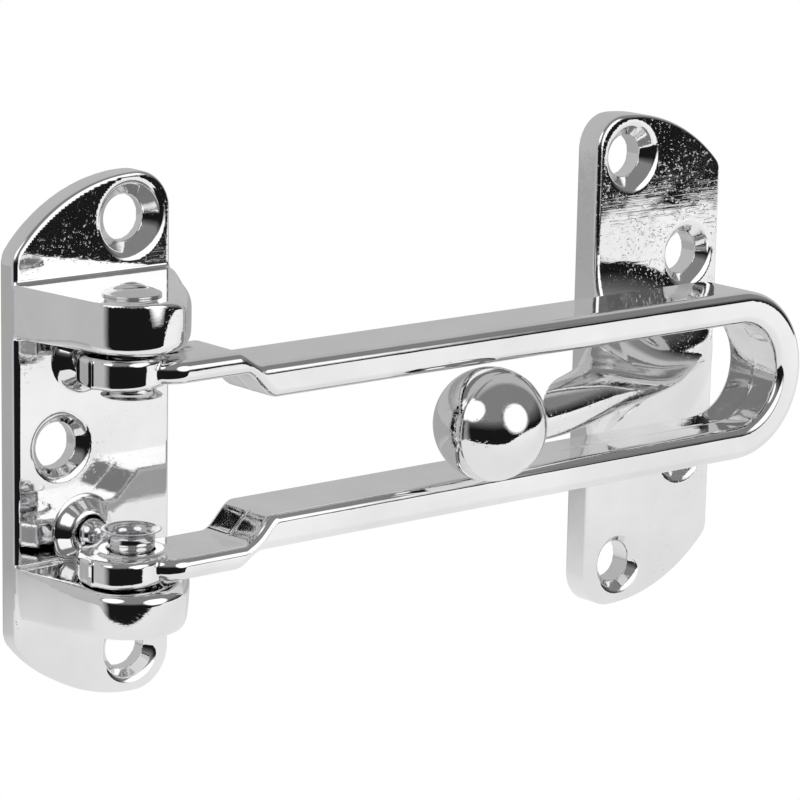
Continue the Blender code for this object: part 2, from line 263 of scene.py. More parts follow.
# Studio: levels of light are stops of (share of the span, grey)
FLOOR_Z = cad_box[0].z - 1.5 * MM
FLOOR_HALF = 6.0
SHEET_Z = -45.0
SHEET_EDGE = ((-260, 340), (-94, 11.5), (-52, -48), (-18, -82), (15, -104), (49, -130), (78, -175),
              (137, -246), (268, -330), (361, -332), (662, -250), (1200, -100), (1200, 1500), (-260, 1500))
SHEET_SPAN = (-0.16, 0.08)
SHEET_STOPS = ((0.0, 0.99), (0.4, 0.88), (0.667, 0.86), (1.0, 0.42))
ROOM_RISE_SPAN = (0.0, 0.35)
ROOM_RISE_STOPS = ((0.0, 0.01), (0.25, 0.05), (0.6, 0.12), (1.0, 0.24))
ROOM_BACK_SPAN = (-0.15, 0.1)
ROOM_BACK_STOPS = ((0.0, 0.0), (1.0, 0.53))
# Name, azimuth, elevation, half width and half height in degrees, strength
LAMPS = (
    ("softbox_left", -80, 34, 24, 23, 1.3),
    ("softbox_right", 15, 19, 31, 28, 1.3),
)
LAMP_DISTANCE = 0.9
LAMP_CORE = 0.72                        # share of a lamp's radius that glows at full strength
LAMP_RIM = 0.15                         # strength left at the rim

# Camera
CAMERA_AT = (-296.812, -429.303, 122.852)
CAMERA_AIM = (47.159, -20.0, 3.459)
CAMERA_ROLL_DEG = 1.1355
CAMERA_LENS = 156.95


# Distance fields

def round_max(a, b, radius):
    """Common part of two shapes, its edge rounded."""
    edge = np.hypot(np.maximum(radius + a, 0), np.maximum(radius + b, 0))
    return np.minimum(-radius, np.maximum(a, b)) + edge


def round_min(a, b, radius):
    """Two shapes joined, with a fillet in the corner between them."""
    fillet = np.hypot(np.maximum(radius - a, 0), np.maximum(radius - b, 0))
    return np.maximum(radius, np.minimum(a, b)) - fillet


def blend(start, end, share):
    return start + (end - start) * share


def ease(value, start, end):
    """0 before start, 1 after end, level at both."""
    t = np.clip((value - start) / (end - start), 0, 1)
    return t * t * (3 - 2 * t)


def ease_slope(value, start, end):
    t = np.clip((value - start) / (end - start), 0, 1)
    return 6 * t * (1 - t) / (end - start)


def half_plane(x, y, start, end):
    """Distance to the left of the line from start to end."""
    dx, dy = end[0] - start[0], end[1] - start[1]
    length = math.hypot(dx, dy)
    return ((y - start[1]) * dx - (x - start[0]) * dy) / length


def plate_outline(u, v, width, half_h, corner_r, sweep_r, tip_r):
    """Front outline of a plate: u from its straight side, v from its middle."""
    v = np.abs(v)
    sweep_v = half_h - sweep_r
    sweep = np.hypot(u - corner_r, np.maximum(v - sweep_v, 0)) - sweep_r
    outline = np.maximum(np.maximum(-u, u - width), sweep)
    corner_v = half_h - corner_r
    corner = np.hypot(u - corner_r, v - corner_v) - corner_r
    outline = np.where((u < corner_r) & (v > corner_v), corner, outline)
    tip_u = width - tip_r
    tip_v = sweep_v + math.sqrt((sweep_r - tip_r) ** 2 - (tip_u - corner_r) ** 2)
    along = (u - tip_u) * (tip_v - sweep_v) - (v - tip_v) * (tip_u - corner_r)
    tip = np.hypot(u - tip_u, v - tip_v) - tip_r
    return np.where((along > 0) & (v > tip_v), tip, outline)


def slab(outline, y, thickness, front_r):
    """Outline given the thickness of a plate that lies on y = 0."""
    front = round_max(outline, -thickness - y, front_r)
    return np.maximum(front, round_max(outline, y, BACK_EDGE_R))


def parting_line(y, at, size):
    """Height of the fine ridge that the casting mould leaves."""
    height, half_w = size
    return height * np.exp(-((y - at) / half_w) ** 2)


def cut_screw_holes(solid, x, y, z, holes, thickness):
    """Countersunk holes with softened rims."""
    for hole_x, hole_z, sink_r in holes:
        rho = np.hypot(x - hole_x, z - hole_z)
        cone = (rho - sink_r + y + thickness) * math.sqrt(0.5)
        solid = round_max(solid, -np.maximum(cone, rho - sink_r - SINK_RIM_R), SINK_RIM_R)
        solid = round_max(solid, BORE_R - rho, BORE_EDGE_R)
    return solid


def flank_centre():
    """Centre of the lug's right flank: touches the nose circle and ends at the plate's front corner."""
    corner = (PLATE_HALF_W, -PLATE_T)
    dx, dy = corner[0] - PIN_X, corner[1] - PIN_Y
    span = math.hypot(dx, dy)
    from_pin = FLANK_R - NOSE_R
    along = (from_pin ** 2 - FLANK_R ** 2 + span ** 2) / (2 * span)
    aside = math.sqrt(from_pin ** 2 - along ** 2)
    return (PIN_X + (along * dx - aside * dy) / span, PIN_Y + (along * dy + aside * dx) / span)


def lug_plan(x, y):
    """Plan of a lug: a left wall and a bowed right flank, both running into the nose round the pin."""
    wall_dx, wall_dy = -PLATE_HALF_W - PIN_X, -PLATE_T - PIN_Y
    wall_angle = math.atan2(wall_dy, wall_dx) + math.acos(NOSE_R / math.hypot(wall_dx, wall_dy))
    wall = (math.cos(wall_angle), math.sin(wall_angle))
    flank_x, flank_y = flank_centre()
    flank_len = FLANK_R - NOSE_R
    flank = ((PIN_X - flank_x) / flank_len, (PIN_Y - flank_y) / flank_len)
    px, py = x - PIN_X, y - PIN_Y
    left = px * wall[0] + py * wall[1] - NOSE_R
    right = np.hypot(x - flank_x, y - flank_y) - FLANK_R
    nose = np.hypot(px, py) - NOSE_R
    in_nose = (wall[0] * py - wall[1] * px > 0) & (px * flank[1] - py * flank[0] > 0)
    return np.where(in_nose, nose, np.maximum(left, right))


def lugs(x, y, z):
    """Both hinge lugs; their edges soften towards the nose."""
    out = -PLATE_T - y
    height = np.abs(z)
    middle = np.where(z < 0, LUG_IN, (LUG_IN + LUG_OUT) / 2)
    barrel = LUG_BARREL * (height - middle) ** 2
    plan = np.maximum(lug_plan(x, y) + barrel, np.abs(x) - PLATE_HALF_W)
    taper = np.where(z < 0, LOWER_LUG_TAPER * np.maximum(out, 0), 0)
    right = ease(x, *LUG_SOFT_X) * ease(out, *LUG_SOFT_OUT)
    inner_r = blend(*LUG_INNER_EDGE_R, ease(out, *LUG_INNER_SOFT_OUT))
    top_r = blend(*LUG_TOP_EDGE_R, right)
    under_r = blend(*LUG_UNDER_EDGE_R, np.maximum(right, ease(out, *LUG_UNDER_SOFT_OUT)))
    outer_r = np.where(z < 0, under_r, top_r)
    inner = round_max(plan, LUG_IN - height, inner_r)
    outer = round_max(plan, height - LUG_OUT + taper, outer_r)
    return np.maximum(np.maximum(inner, outer), y - ROOT_Y)


def bosses(x, y, z):
    """Conical housings of the two detents."""
    rho = np.hypot(x - BOSS_X, np.abs(z) - BOSS_Z)
    rise = -PLATE_T - y
    slope = (BOSS_BASE_R - BOSS_TIP_R) / (-PLATE_T - BOSS_FRONT_Y)
    cone = (rho - BOSS_BASE_R + slope * rise) / math.hypot(1, slope)
    return np.maximum(round_max(cone, BOSS_FRONT_Y - y, BOSS_EDGE_R), y - ROOT_Y)


def hinge_plate_field(points):
    x, y, z = points.T
    outline = plate_outline(PLATE_HALF_W - x, z, 2 * PLATE_HALF_W, PLATE_HALF_H,
                            PLATE_CORNER_R, PLATE_SWEEP_R, PLATE_TIP_R)
    edge_r = blend(EDGE_SOFT, EDGE_SHARP, ease(x, *HINGE_EDGE_SPAN))
    solid = slab(outline, y, PLATE_T, edge_r)
    solid = round_min(solid, lugs(x, y, z), LUG_FILLET)
    solid = round_min(solid, bosses(x, y, z), BOSS_FILLET)
    solid = np.maximum(solid, np.abs(x) - PLATE_HALF_W)
    solid = cut_screw_holes(solid, x, y, z, HINGE_HOLES, PLATE_T)
    pin_rho = np.hypot(x - PIN_X, y - PIN_Y)
    solid = round_max(solid, RIVET_HOLE_R - pin_rho, HOLE_EDGE_R)
    bore = np.maximum(np.hypot(x - BOSS_X, np.abs(z) - BOSS_Z) - DETENT_BORE_R, y - DETENT_FLOOR_Y)
    return round_max(solid, -bore, HOLE_EDGE_R)


def crank(x, span, start, end):
    """Level of an S-shaped step, and what its slant divides distances by."""
    level = blend(start, end, ease(x, *span))
    slope = (end - start) * ease_slope(x, *span)
    return level, np.hypot(1, slope)


def cam_plan(px, py):
    """Plan of a knuckle about the pin: round, with a cam nose and a detent notch at the rear."""
    rho = np.hypot(px, py)
    front = np.hypot(px - KNUCKLE_FRONT[0], py - KNUCKLE_FRONT[1]) - KNUCKLE_FRONT_R
    disc = np.maximum(rho - KNUCKLE_R, np.where(py < KNUCKLE_FRONT_END, front, -1.0))
    nose = np.maximum(half_plane(px, py, *CAM_LEFT), half_plane(px, py, *CAM_RIGHT))
    nose = np.maximum(round_max(nose, rho - CAM_R, CAM_EDGE_R), CAM_START - py)
    notch = np.maximum(half_plane(px, py, CAM_NOTCH[1], CAM_NOTCH[0]),
                       half_plane(px, py, CAM_NOTCH[2], CAM_NOTCH[1]))
    nose = round_max(nose, -notch, NOTCH_EDGE_R)
    return round_min(disc, nose, CAM_FILLET)


def knuckles(px, py, z):
    """The bar's two knuckles, seen from the pin."""
    cam = cam_plan(px, py)
    height = np.abs(z)
    inner_face = np.where(z > 0, KNUCKLE_IN[1], KNUCKLE_IN[-1]) - height
    outer_face = height - KNUCKLE_OUT
    outer = round_max(cam, outer_face, KNUCKLE_EDGE_R)
    inner = round_max(cam, inner_face, KNUCKLE_EDGE_R)
    return np.maximum(outer, inner)


def rails(x, y, height):
    """The rails, the loop end and the cranked ears, at a height above or below the bar's middle."""
    reach = np.hypot(np.maximum(x - LOOP_X, 0), height)
    outer_level, outer_slant = crank(x, CRANK_OUT, STRAP_OUT, RAIL_OUT)
    inner_level, inner_slant = crank(x, CRANK_IN, STRAP_IN, RAIL_IN)
    outer = (reach - outer_level) / outer_slant
    inner = (inner_level - reach) / inner_slant - parting_line(y, BAR_PARTING_Y, BAR_PARTING)
    front = np.hypot(np.minimum(x - STRAP_NOSE[0], 0), np.minimum(y - STRAP_NOSE[1], 0)) - STRAP_NOSE_R
    back = y - BAR_BACK_Y
    front_edges = np.maximum(round_max(outer, front, BAR_FRONT_R), round_max(inner, front, BAR_FRONT_R))
    back_edges = np.maximum(round_max(outer, back, BAR_BACK_R), round_max(inner, back, BAR_BACK_R))
    return np.maximum(front_edges, back_edges)


def swing_bar_field(points):
    x, y, z = points.T
    height = np.abs(z)
    px, py = x - PIN_X, y - PIN_Y
    rho = np.hypot(px, py)
    solid = round_min(rails(x, y, height), knuckles(px, py, z), KNUCKLE_FILLET)
    pad = round_max(rho - PAD_R, PAD_IN - height, PAD_EDGE_R)
    solid = round_min(solid, np.maximum(pad, height - STRAP_OUT), PAD_FILLET)
    return round_max(solid, RIVET_HOLE_R - rho, HOLE_EDGE_R)


class Spline:
    """Natural cubic spline through values at 0, 1, 2, ..."""

    def __init__(self, values):
        values = np.array(values, float)
        count = len(values)
        matrix = np.eye(count)
        rhs = np.zeros(count)
        for i in range(1, count - 1):
            matrix[i, i - 1:i + 2] = (1, 4, 1)
            rhs[i] = 6 * (values[i - 1] - 2 * values[i] + values[i + 1])
        bend = np.linalg.solve(matrix, rhs)
        self.last = count - 2
        self.start = values[:-1]
        self.slope = np.diff(values) - (2 * bend[:-1] + bend[1:]) / 6
        self.bend = bend[:-1] / 2
        self.twist = np.diff(bend) / 6

    def __call__(self, t):
        i = np.clip(t.astype(int), 0, self.last)
        s = t - i
        return self.start[i] + s * (self.slope[i] + s * (self.bend[i] + s * self.twist[i]))


horn_rows = [(*near, *far, near_half, far_half) for near, far, near_half, far_half in HORN]
near_x, near_y, far_x, far_y, near_half_h, far_half_h = (Spline(values) for values in zip(*horn_rows))


def horn_station(x, y):
    """Which horn section's line a plan point lies on, from 0 at the root to the last at the ball."""
    last = len(HORN) - 1.0
    low, high = np.zeros_like(x), np.full_like(x, last)
    for _ in range(HORN_HALVINGS):
        t = (low + high) / 2
        beyond = section_side(x, y, t) > 0
        low, high = np.where(beyond, t, low), np.where(beyond, high, t)
    side_low, side_high = section_side(x, y, low), section_side(x, y, high)
    share = side_low / np.where(side_low == side_high, 1, side_low - side_high)
    return low + (high - low) * np.clip(share, 0, 1)


def section_side(x, y, t):
    """Positive while the plan point is on the ball's side of section t."""
    ax, ay = near_x(t), near_y(t)
    return (far_y(t) - ay) * (x - ax) - (far_x(t) - ax) * (y - ay)


def horn(x, y, z):
    """The horn: an oval beam that thins to a low ridge where it runs out on the plate."""
    t = horn_station(x, y)
    ax, ay = near_x(t), near_y(t)
    dx, dy = far_x(t) - ax, far_y(t) - ay
    semi = np.hypot(dx, dy) / 2
    across = ((x - ax) * dx + (y - ay) * dy) / (2 * semi)
    u = (across - semi) / semi
    flare = np.clip((1 - u) / 2, 0, 1) ** 2
    half_h = blend(far_half_h(t), near_half_h(t), flare)
    v = (z - HORN_DROOP * ease(x, *HORN_DROOP_X)) / half_h
    power = np.where(u < 0, blend(*HORN_POWER, ease(t, 1, 3)), HORN_POWER[1])
    u, v = np.abs(u) + 1e-6, np.abs(v) + 1e-6
    total = (u ** power + v ** power) ** (1 / power)
    slope = np.hypot((u / total) ** (power - 1) / semi, (v / total) ** (power - 1) / half_h)
    body = (total - 1) / (slope + 1e-6)
    return np.maximum(np.maximum(body, y - HORN_START_Y), BALL[0] - x)


def root_swell(x, z):
    """Gentle rise of the plate's front towards the horn's root."""
    run = np.clip((x - STRIKE_X0) / SWELL_RUN, 0, 1)
    half_h = SWELL_HALF_H * np.sqrt(1 - run ** 2) + 1e-3
    share = np.clip((z - HORN_DROOP / 2) / half_h, -1, 1)
    return SWELL_H * (1 - run ** 2) * (1 - share ** 2) ** 3


def ball_plate_field(points):
    x, y, z = points.T
    outline = plate_outline(x - STRIKE_X0, z - STRIKE_MID_Z, STRIKE_W, STRIKE_HALF_H,
                            STRIKE_CORNER_R, STRIKE_SWEEP_R, STRIKE_TIP_R)
    edge_r = blend(EDGE_SOFT, EDGE_SHARP, ease(x, *STRIKE_EDGE_SPAN))
    plate = slab(outline, y + root_swell(x, z) * ease(-y, *SWELL_DEPTHS), STRIKE_T, edge_r)
    fillet = HORN_FILLET * np.exp(-np.maximum(x - STRIKE_X0, 0) / HORN_FILLET_RUN) + HORN_FILLET_END
    solid = round_min(plate, horn(x, y, z), fillet * ease(-y, *ROOT_DEPTHS) + HORN_SEAM_R)
    overhang = STRIKE_X0 - ROOT_LEAN * np.maximum(ROOT_LEAN_Y - y, 0) - x
    solid = np.maximum(np.maximum(solid, overhang), x - strike_high[0])
    rho = np.sqrt((x - BALL[0]) ** 2 + (y - BALL[1]) ** 2 + z ** 2)
    ball = rho - BALL_R - parting_line(y, BALL_PARTING_Y, BALL_PARTING)
    solid = round_min(solid, ball, BALL_FILLET)
    return cut_screw_holes(solid, x, y, z, STRIKE_HOLES, STRIKE_T)


# Meshing

def evaluate(field, points):
    """Field values, worked out a chunk of points at a time."""
    parts = [field(points[i:i + CHUNK]) for i in range(0, len(points), CHUNK)]
    return np.concatenate(parts)


def sample(field, low, high, cell):
    """Field values on a grid, worked out only in the blocks that the surface may cross."""
    side = cell * BLOCK
    counts = np.ceil((high - low) / side).astype(int)
    corners = np.stack(np.meshgrid(*[np.arange(n) for n in counts], indexing="ij"), -1).reshape(-1, 3)
    coarse = evaluate(field, low + (corners + 0.5) * side)
    signs = np.where(coarse < 0, -1.0, 1.0).reshape(counts)
    for axis in range(3):
        signs = np.repeat(signs, BLOCK, axis)
    values = np.pad(signs, (0, 1), mode="edge")
    crossed = corners[np.abs(coarse) < side * BLOCK_REACH]
    steps = np.arange(BLOCK + 1)
    local = np.stack(np.meshgrid(steps, steps, steps, indexing="ij"), -1).reshape(-1, 3)
    points = low + (crossed[:, None] * BLOCK + local) * cell
    fine = evaluate(field, points.reshape(-1, 3)).reshape(-1, BLOCK + 1, BLOCK + 1, BLOCK + 1)
    for (i, j, k), block in zip(crossed * BLOCK, fine):
        values[i:i + BLOCK + 1, j:j + BLOCK + 1, k:k + BLOCK + 1] = block
    return values


def surface_net(values):
    """A vertex in each grid cell that the surface crosses, and a quad round each grid edge it crosses."""
    inside = values < 0
    corners = np.array([(i, j, k) for i in (0, 1) for j in (0, 1) for k in (0, 1)])
    shape = np.array(values.shape) - 1
    filled = np.zeros(shape, int)
    for i, j, k in corners:
        filled += inside[i:i + shape[0], j:j + shape[1], k:k + shape[2]]
    cells = np.argwhere((filled > 0) & (filled < 8))
    index = np.full(shape, -1)
    index[tuple(cells.T)] = np.arange(len(cells))
    at = cells[:, None] + corners
    corner_values = values[at[..., 0], at[..., 1], at[..., 2]]
    total, count = np.zeros((len(cells), 3)), np.zeros(len(cells))
    for a in range(8):
        for b in range(a + 1, 8):
            if np.abs(corners[a] - corners[b]).sum() == 1:
                va, vb = corner_values[:, a], corner_values[:, b]
                crosses = (va < 0) != (vb < 0)
                share = np.where(crosses, va / np.where(crosses, va - vb, 1), 0)[:, None]
                total += crosses[:, None] * (corners[a] + share * (corners[b] - corners[a]))
                count += crosses
    quads = []
    for axis in range(3):
        step, side_a, side_b = (np.eye(3, dtype=int)[(axis + n) % 3] for n in range(3))
        upper = tuple(slice(s, None) for s in step)
        lower = tuple(slice(None, -1) if s else slice(None) for s in step)
        edges = np.argwhere(inside[lower] != inside[upper])
        ring = [edges - side_a - side_b, edges - side_b, edges, edges - side_a]
        quad = np.stack([index[tuple(c.T)] for c in ring], 1)
        starts_inside = inside[tuple(edges.T)]
        quads.append(np.where(starts_inside[:, None], quad, quad[:, ::-1]))
    return cells + total / count[:, None], np.concatenate(quads)


def gradient(field, points, step):
    """Field value and gradient from the four corners of a small tetrahedron."""
    corners = np.array([(1, -1, -1), (-1, -1, 1), (-1, 1, -1), (1, 1, 1)], float)
    values = [evaluate(field, points + corner * step) for corner in corners]
    slope = sum(value[:, None] * corner for value, corner in zip(values, corners)) / (4 * step)
    return sum(values) / 4, slope


def settle(field, points, cell):
    """Points moved onto the surface, and the surface's normals there."""
    for _ in range(SETTLE_STEPS):
        value, slope = gradient(field, points, SETTLE_PROBE)
        step = value / np.maximum((slope ** 2).sum(1), 0.05)
        points = points - np.clip(step, -cell / 2, cell / 2)[:, None] * slope
    slope = gradient(field, points, NORMAL_PROBE)[1]
    return points, slope / np.linalg.norm(slope, axis=1)[:, None]


def casting(name, field, node, body):
    """A fine closed mesh of a field inside the box of the CAD node it stands for."""
    low, high = box_mm(node)
    margin = GRID_MARGIN * CELL
    values = sample(field, low - margin, high + margin, CELL)
    points, quads = surface_net(values)
    points, normals = settle(field, low - margin + points * CELL, CELL)
    points = np.clip(points, low, high)
    mesh = bpy.data.meshes.new(name)
    mesh.from_pydata((points * MM).tolist(), [], quads.tolist())
    mesh.shade_smooth()
    mesh.normals_split_custom_set_from_vertices(normals.tolist())
    return add_piece(name, mesh, node, body)


def add_piece(name, mesh, node, body):
    """The piece that stands for a CAD node and moves with its body."""
    obj = bpy.data.objects.new(name, mesh)
    bpy.context.scene.collection.objects.link(obj)
    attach(obj, body)
    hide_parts(node)
    return obj


def turned(name, profile, centre, axis, node, body, segments=96):
    """Solid of revolution from (radius, place on the axis) points that start and end on the axis."""
    turn = Vector((0, 0, 1)).rotation_difference(Vector(axis))
    points, faces, rings = [], [], []
    for radius, along in profile:
        count = 1 if radius == 0 else segments
        rings.append(range(len(points), len(points) + count))
        for i in range(count):
            angle = 2 * math.pi * i / segments
            local = Vector((radius * math.cos(angle), radius * math.sin(angle), along))
            points.append((turn @ local + Vector(centre)) * MM)
    for low, high in zip(rings, rings[1:]):
        for i in range(segments):
            j = (i + 1) % segments
            face = (low[i % len(low)], low[j % len(low)], high[j % len(high)], high[i % len(high)])
            faces.append(tuple(dict.fromkeys(face)))
    mesh = bpy.data.meshes.new(name)
    mesh.from_pydata(points, [], faces)
    mesh.shade_smooth()
    mesh.set_sharp_from_angle(angle=math.radians(50))
    return add_piece(name, mesh, node, body)


def arc(cx, cy, radius, start_deg, end_deg, steps=10):
    angles = np.radians(np.linspace(start_deg, end_deg, steps + 1))
    return [(cx + radius * math.cos(a), cy + radius * math.sin(a)) for a in angles]


# Small turned and wound parts

def rivet_head(z):
    """Dome, rounded edge and underside of a head whose edge is at z."""
    edge_r = HEAD_R - HEAD_EDGE_IN
    dome = [(0, z + HEAD_H)]
    for i in range(1, DOME_STEPS + 1):
        share = i / DOME_STEPS
        dome.append((edge_r * share, z + DOME_LIFT + (HEAD_H - DOME_LIFT) * (1 - share ** DOME_POWER)))
    edge = arc(edge_r, z - HEAD_EDGE_DROP, HEAD_EDGE_R, 80, -80, 6)
    underside = [(HEAD_R - 0.7, z - SEAT - 0.02), (SHANK_R + 0.3, z - SEAT)]
    return dome + edge + underside


def rivet_profile(head_z, flare_z):
    """Head, shank, barrel with its bead, and a thin-walled mouth spread like a trumpet."""
    shank = [(SHANK_R, head_z - SEAT), (SHANK_R, BARREL_TOP + 0.1)]
    barrel = [(BARREL_R, BARREL_TOP), (BARREL_R, BEAD_Z + BEAD_HALF_W)]
    bead = [(BARREL_R + BEAD_H, BEAD_Z), (BARREL_R, BEAD_Z - BEAD_HALF_W)]
    spread = arc(HEAD_R + 0.25, flare_z + FLARE_H, HEAD_R + 0.2 - BARREL_R, 175, 262, 8)
    lip = [(HEAD_R, flare_z + 0.02), (HEAD_R - LIP_W, flare_z)]
    mouth = arc(HEAD_R - LIP_W, flare_z + MOUTH_R, MOUTH_R, -92, -172, 8)
    bore = [(BARREL_R - MOUTH_WALL, flare_z + BORE_DEPTH), (0, flare_z + BORE_DEPTH + BORE_END_H)]
    return rivet_head(head_z) + shank + barrel + bead + spread + lip + mouth + bore


def make_rivet(name, sign):
    """The lower rivet is the upper one turned over, at its own level."""
    low, high = box_mm(name)
    flare_z, top_z = sorted((sign * low[2], sign * high[2]))
    profile = rivet_profile(top_z - HEAD_H, flare_z)
    return turned(name + "_fine", profile, (PIN_X, PIN_Y, 0), (0, 0, sign), name, "frame_side")


def make_detent_ball(name, sign, body):
    """Steel ball, worn to a small flat where the cam rides."""
    angles = [math.radians(angle) for angle in range(WEAR_DEG, 180, 4)]
    outline = [(0, DETENT_R * math.cos(angles[0]))]
    outline += [(DETENT_R * math.sin(angle), DETENT_R * math.cos(angle)) for angle in angles]
    outline += [(0, -DETENT_R)]
    centre = (BOSS_X, BOSS_FRONT_Y, sign * BOSS_Z)
    return turned(name + "_fine", outline, centre, (0, -1, 0), name, body, segments=64)


def spring_points(sign):
    """Rings of points round the wire of a coil spring, from the bore's floor to the ball."""
    coil_r = (spring_high[0] - spring_low[0]) / 2 - SPRING_WIRE_R - SPRING_SIDE_GAP
    start = spring_high[1] - SPRING_WIRE_R - SPRING_END_GAP
    end = spring_low[1] + SPRING_WIRE_R + SPRING_END_GAP
    count = SPRING_TURNS * TURN_STEPS
    points = []
    for i in range(count + 1):
        angle = 2 * math.pi * i / TURN_STEPS
        along = blend(start, end, ease(i / count, *SPRING_CLIMB))
        radial = Vector((math.cos(angle), 0, math.sin(angle)))
        centre = Vector((BOSS_X, along, sign * BOSS_Z)) + radial * coil_r
        for k in range(WIRE_STEPS):
            phi = 2 * math.pi * k / WIRE_STEPS
            offset = radial * math.cos(phi) + Vector((0, math.sin(phi), 0))
            points.append((centre + SPRING_WIRE_R * offset) * MM)
    return points


def make_spring(name, sign):
    """Coil spring with its end turns drawn closer, a solid wire with flat ends."""
    count = SPRING_TURNS * TURN_STEPS
    faces = []
    for i in range(count):
        a, b = i * WIRE_STEPS, (i + 1) * WIRE_STEPS
        for k in range(WIRE_STEPS):
            m = (k + 1) % WIRE_STEPS
            faces.append((a + k, a + m, b + m, b + k))
    faces.append(tuple(reversed(range(WIRE_STEPS))))
    faces.append(tuple(range(count * WIRE_STEPS, (count + 1) * WIRE_STEPS)))
    mesh = bpy.data.meshes.new(name)
    mesh.from_pydata(spring_points(sign), [], faces)
    mesh.shade_smooth()
    return add_piece(name + "_fine", mesh, name, "frame_side")


# Materials

class Nodes:
    """Short calls for building a node tree."""

    def __init__(self, tree):
        self.tree = tree
        tree.nodes.clear()

    def add(self, kind, **values):
        node = self.tree.nodes.new(kind)
        for key, value in values.items():
            if key in node.inputs:
                node.inputs[key].default_value = value
            else:
                setattr(node, key, value)
        return node

    def link(self, source, target):
        self.tree.links.new(source, target)


def new_material(name):
    material = bpy.data.materials.new(name)
    material.use_nodes = True
    return material, Nodes(material.node_tree)


def noise(nodes, place, scale, detail, roughness, stretch=None):
    """Noise texture, drawn out along an axis if stretch is given."""
    texture = nodes.add("ShaderNodeTexNoise", Scale=scale, Detail=detail, Roughness=roughness)
    if stretch is None:
        nodes.link(place, texture.inputs["Vector"])
        return texture.outputs["Fac"]
    mapping = nodes.add("ShaderNodeMapping", Scale=stretch)
    nodes.link(place, mapping.inputs["Vector"])
    nodes.link(mapping.outputs["Vector"], texture.inputs["Vector"])
    return texture.outputs["Fac"]


def between(nodes, value, span, levels):
    """Value carried from a span to the levels at its ends, and held between them."""
    node = nodes.add("ShaderNodeMapRange")
    node.inputs["From Min"].default_value, node.inputs["From Max"].default_value = span
    node.inputs["To Min"].default_value, node.inputs["To Max"].default_value = levels
    nodes.link(value, node.inputs["Value"])
    return node.outputs["Result"]


def bump(nodes, height, strength, distance, under=None):
    node = nodes.add("ShaderNodeBump", Strength=strength, Distance=distance)
    nodes.link(height, node.inputs["Height"])
    if under is not None:
        nodes.link(under, node.inputs["Normal"])
    return node.outputs["Normal"]


def hazy(nodes, place, color):
    """The metal's colour, duller in soft patches."""
    patch = noise(nodes, place, scale=45.0, detail=4.0, roughness=0.6)
    mix = nodes.add("ShaderNodeMix", data_type="RGBA")
    nodes.link(between(nodes, patch, (0.35, 0.7), (0.0, 1.0)), mix.inputs["Factor"])
    mix.inputs["A"].default_value = (*color, 1.0)
    mix.inputs["B"].default_value = (*(channel * HAZE for channel in color), 1.0)
    return mix.outputs["Result"]


def pitted(nodes, place):
    """Height of fine pits that gather in patches."""
    grain = noise(nodes, place, scale=2200.0, detail=2.0, roughness=0.5)
    patch = noise(nodes, place, scale=70.0, detail=3.0, roughness=0.6)
    both = nodes.add("ShaderNodeMath", operation="MULTIPLY")
    nodes.link(between(nodes, grain, (0.6, 0.75), (0.0, 1.0)), both.inputs[0])
    nodes.link(between(nodes, patch, (0.45, 0.62), (0.1, 1.0)), both.inputs[1])
    return both.outputs["Value"]


def plating(name, color, smooth, worn, wave, speck):
    """Bright metal: slow waves, polishing marks along the bar, patches of fine pits, gloss that varies.

    smooth and worn are the roughness of the best and of the most rubbed places; wave and speck are the
    strengths of the waves and of the pits.
    """
    material, nodes = new_material(name)
    place = nodes.add("ShaderNodeTexCoord").outputs["Object"]
    shader = nodes.add("ShaderNodeBsdfPrincipled", **{"Base Color": (*color, 1.0), "Metallic": 1.0})
    output = nodes.add("ShaderNodeOutputMaterial")
    nodes.link(shader.outputs["BSDF"], output.inputs["Surface"])
    nodes.link(hazy(nodes, place, color), shader.inputs["Base Color"])
    rub = noise(nodes, place, scale=90.0, detail=5.0, roughness=0.65)
    nodes.link(between(nodes, rub, (0.35, 0.75), (smooth, worn)), shader.inputs["Roughness"])
    waves = noise(nodes, place, scale=130.0, detail=2.0, roughness=0.5)
    waves = bump(nodes, waves, wave, WAVE_H)
    marks = noise(nodes, place, scale=1.0, detail=3.0, roughness=0.7, stretch=(60.0, 1400.0, 1400.0))
    marks = bump(nodes, marks, wave * 0.8, MARK_H, waves)
    pits = bump(nodes, pitted(nodes, place), speck, PIT_H, marks)
    nodes.link(pits, shader.inputs["Normal"])
    return material


def finish_piece(obj, material):
    obj.data.materials.clear()
    obj.data.materials.append(material)


frame_chrome = plating("frame_chrome", CHROME, 0.03, 0.07, wave=0.2, speck=0.12)
bar_chrome = plating("bar_chrome", CHROME, 0.03, 0.07, wave=0.2, speck=0.03)
door_chrome = plating("door_chrome", CHROME, 0.03, 0.08, wave=0.3, speck=0.4)
steel = plating("polished_steel", STEEL, 0.08, 0.16, wave=0.2, speck=0.3)
wire = plating("spring_wire", WIRE, 0.2, 0.32, wave=0.2, speck=0.3)

for node, field, body, chrome in (
    ("hinge_plate", hinge_plate_field, "frame_side", frame_chrome),
    ("swing_bar", swing_bar_field, "bar", bar_chrome),
    ("ball_plate", ball_plate_field, "door_side", door_chrome),
):
    finish_piece(casting(node + "_fine", field, node, body), chrome)
for side, sign in (("upper", 1), ("lower", -1)):
    finish_piece(make_rivet(side + "_hinge_rivet", sign), steel)
    finish_piece(make_detent_ball(side + "_detent_ball", sign, side + "_ball"), steel)
    finish_piece(make_spring(side + "_detent_spring", sign), wire)


# Studio: a white sheet under the object, two octagonal softboxes, a dark room on the camera's side

